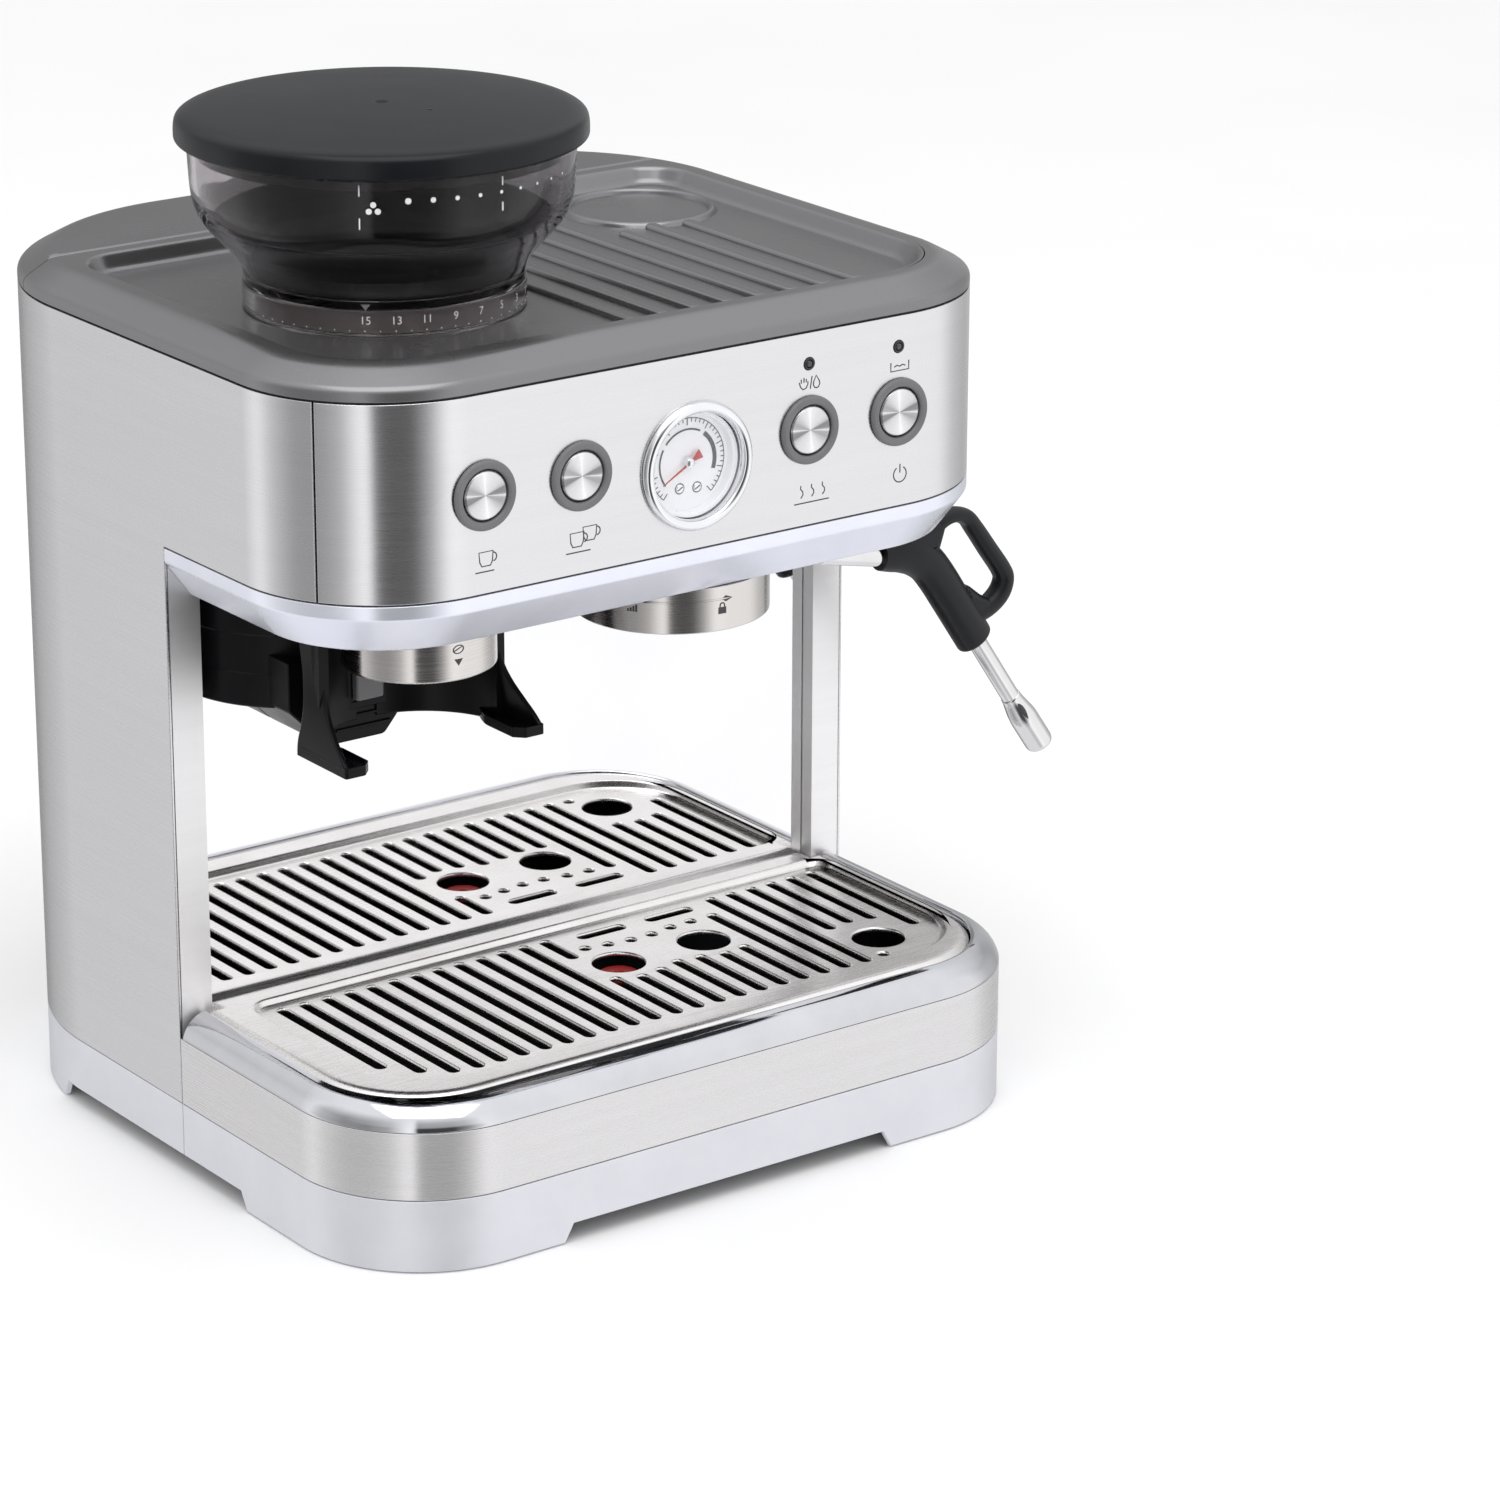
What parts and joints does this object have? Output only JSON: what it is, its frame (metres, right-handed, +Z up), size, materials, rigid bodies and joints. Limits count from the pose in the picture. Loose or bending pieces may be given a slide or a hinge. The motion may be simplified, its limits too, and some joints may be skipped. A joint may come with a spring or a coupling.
{
  "type": "espresso machine",
  "caption": "Countertop espresso machine with a built-in grinder: brushed steel shell, bean hopper on top, front buttons and gauge, steam wand, slotted drip tray, rear water tank.",
  "frame": {"origin": "centre of the bounding box, on the counter; the shell's plane of symmetry is 32.8 mm to the left because the steam wand stands out on the right", "axes": "+Z up, -Y is the front with the buttons, +X to the machine's right as seen from the front"},
  "size_m": [0.3776, 0.3098, 0.402],
  "materials": {
    "brushed_steel_panel": "horizontal brushed",
    "bright_trim": "bright",
    "chrome": "polished",
    "mirror": "polished",
    "cover_grey": "satin",
    "black_plastic": "satin",
    "gloss_black": "gloss",
    "smoked": "smoked transparent",
    "clear": "clear",
    "silver_plastic": "silver",
    "pressed_steel": "pressed",
    "folded_steel": "plain",
    "ring_grey": "satin",
    "spun_metal": "spun",
    "cast_metal": "cast",
    "brass_part": "plain",
    "burr_steel": "ground",
    "rubber_black": "matte",
    "white_dial": "satin",
    "red_plastic": "satin",
    "dark_lamp": "gloss"
  },
  "bodies": {
    "machine": {"left_side_panel": "brushed_steel_panel", "right_side_panel": "brushed_steel_panel", "front_panel": "brushed_steel_panel", "front_trim": "bright_trim", "ceiling_plate": "black_plastic", "left_jamb": "brushed_steel_panel", "right_jamb": "brushed_steel_panel", "mirror_panel": "mirror", "top_cover": "cover_grey", "rear_skirt": "silver_plastic", "base_frame": "black_plastic", "foot_front_left": "rubber_black", "foot_front_right": "rubber_black", "foot_rear_left": "rubber_black", "foot_rear_right": "rubber_black", "rear_cover": "black_plastic", "cord_gland": "rubber_black", "chassis": "folded_steel", "grinder_housing": "black_plastic", "grinder_motor": "folded_steel", "burr_ring": "burr_steel", "outlet_collar": "spun_metal", "portafilter_cradle": "black_plastic", "lock_ring": "spun_metal", "group_gasket": "rubber_black", "shower_screen": "pressed_steel", "group_housing": "brass_part", "boiler": "cast_metal", "pump": "folded_steel", "wand_seat": "black_plastic", "gauge_bezel": "chrome", "gauge_dial": "white_dial", "gauge_lens": "clear", "steam_light": "dark_lamp", "descale_light": "dark_lamp", "one_cup_bezel": "ring_grey", "two_cup_bezel": "ring_grey", "steam_bezel": "ring_grey", "power_bezel": "ring_grey"},
    "hopper": {"hopper_ring": "smoked", "hopper_bowl": "smoked"},
    "hopper_cap": {"hopper_lid": "gloss_black"},
    "burr": {"burr_cone": "burr_steel"},
    "plunger": {"grind_plunger": "ring_grey"},
    "wand": {"wand_tube": "chrome", "wand_grip": "black_plastic", "wand_tip": "chrome"},
    "needle": {"gauge_needle": "red_plastic"},
    "tank": {"water_tank": "smoked"},
    "tank_cover": {"tank_lid": "cover_grey"},
    "tray": {"tray_skirt": "silver_plastic", "tray_band": "brushed_steel_panel", "tray_collar": "chrome", "tray_pan": "black_plastic"},
    "grille": {"drip_grille": "pressed_steel"},
    "float": {"tray_float": "red_plastic"},
    "one_cup": {"one_cup_button": "spun_metal"},
    "two_cup": {"two_cup_button": "spun_metal"},
    "steam": {"steam_button": "spun_metal"},
    "power": {"power_button": "spun_metal"}
  },
  "joints": [
    {"name": "hopper_turn", "type": "hinge", "parent": "machine", "child": "hopper", "pos_m": [-0.09319, -0.0197, 0.332], "axis": [0, 0, 1], "range_deg": [-105, 15]},
    {"name": "hopper_lid_lift", "type": "slide", "parent": "hopper", "child": "hopper_cap", "axis": [0, 0, 1], "range_m": [0, 0.12]},
    {"name": "burr_spin", "type": "hinge", "parent": "machine", "child": "burr", "pos_m": [-0.09319, -0.0197, 0.27], "axis": [0, 0, 1], "continuous": true},
    {"name": "grind_plunger_push", "type": "slide", "parent": "machine", "child": "plunger", "axis": [0, 1, 0], "range_m": [0, 0.005], "stiffness_N_per_m": 300, "springref_m": -0.002},
    {"name": "wand_swivel", "type": "hinge", "parent": "machine", "child": "wand", "pos_m": [0.06721, -0.0697, 0.228], "axis": [0, 0, 1], "range_deg": [-100, 30]},
    {"name": "gauge_needle_turn", "type": "hinge", "parent": "machine", "child": "needle", "pos_m": [-0.03279, -0.1277, 0.2802], "axis": [0, 1, 0], "range_deg": [0, 240], "stiffness_Nm_per_rad": 0.0004},
    {"name": "tank_lift", "type": "slide", "parent": "machine", "child": "tank", "axis": [0, 0, 1], "range_m": [0, 0.2]},
    {"name": "tank_lid_swing", "type": "hinge", "parent": "tank", "child": "tank_cover", "pos_m": [-0.03279, 0.0903, 0.3309], "axis": [1, 0, 0], "range_deg": [0, 95]},
    {"name": "tray_slide", "type": "slide", "parent": "machine", "child": "tray", "axis": [0, -1, 0], "range_m": [0, 0.15]},
    {"name": "grille_lift", "type": "slide", "parent": "tray", "child": "grille", "axis": [0, 0, 1], "range_m": [0, 0.05]},
    {"name": "float_rise", "type": "slide", "parent": "tray", "child": "float", "axis": [0, 0, 1], "range_m": [0, 0.008]},
    {"name": "one_cup_press", "type": "slide", "parent": "machine", "child": "one_cup", "axis": [0, 1, 0], "range_m": [0, 0.002], "stiffness_N_per_m": 500, "springref_m": -0.002},
    {"name": "two_cup_press", "type": "slide", "parent": "machine", "child": "two_cup", "axis": [0, 1, 0], "range_m": [0, 0.002], "stiffness_N_per_m": 500, "springref_m": -0.002},
    {"name": "steam_press", "type": "slide", "parent": "machine", "child": "steam", "axis": [0, 1, 0], "range_m": [0, 0.002], "stiffness_N_per_m": 500, "springref_m": -0.002},
    {"name": "power_press", "type": "slide", "parent": "machine", "child": "power", "axis": [0, 1, 0], "range_m": [0, 0.002], "stiffness_N_per_m": 500, "springref_m": -0.002}
  ]
}
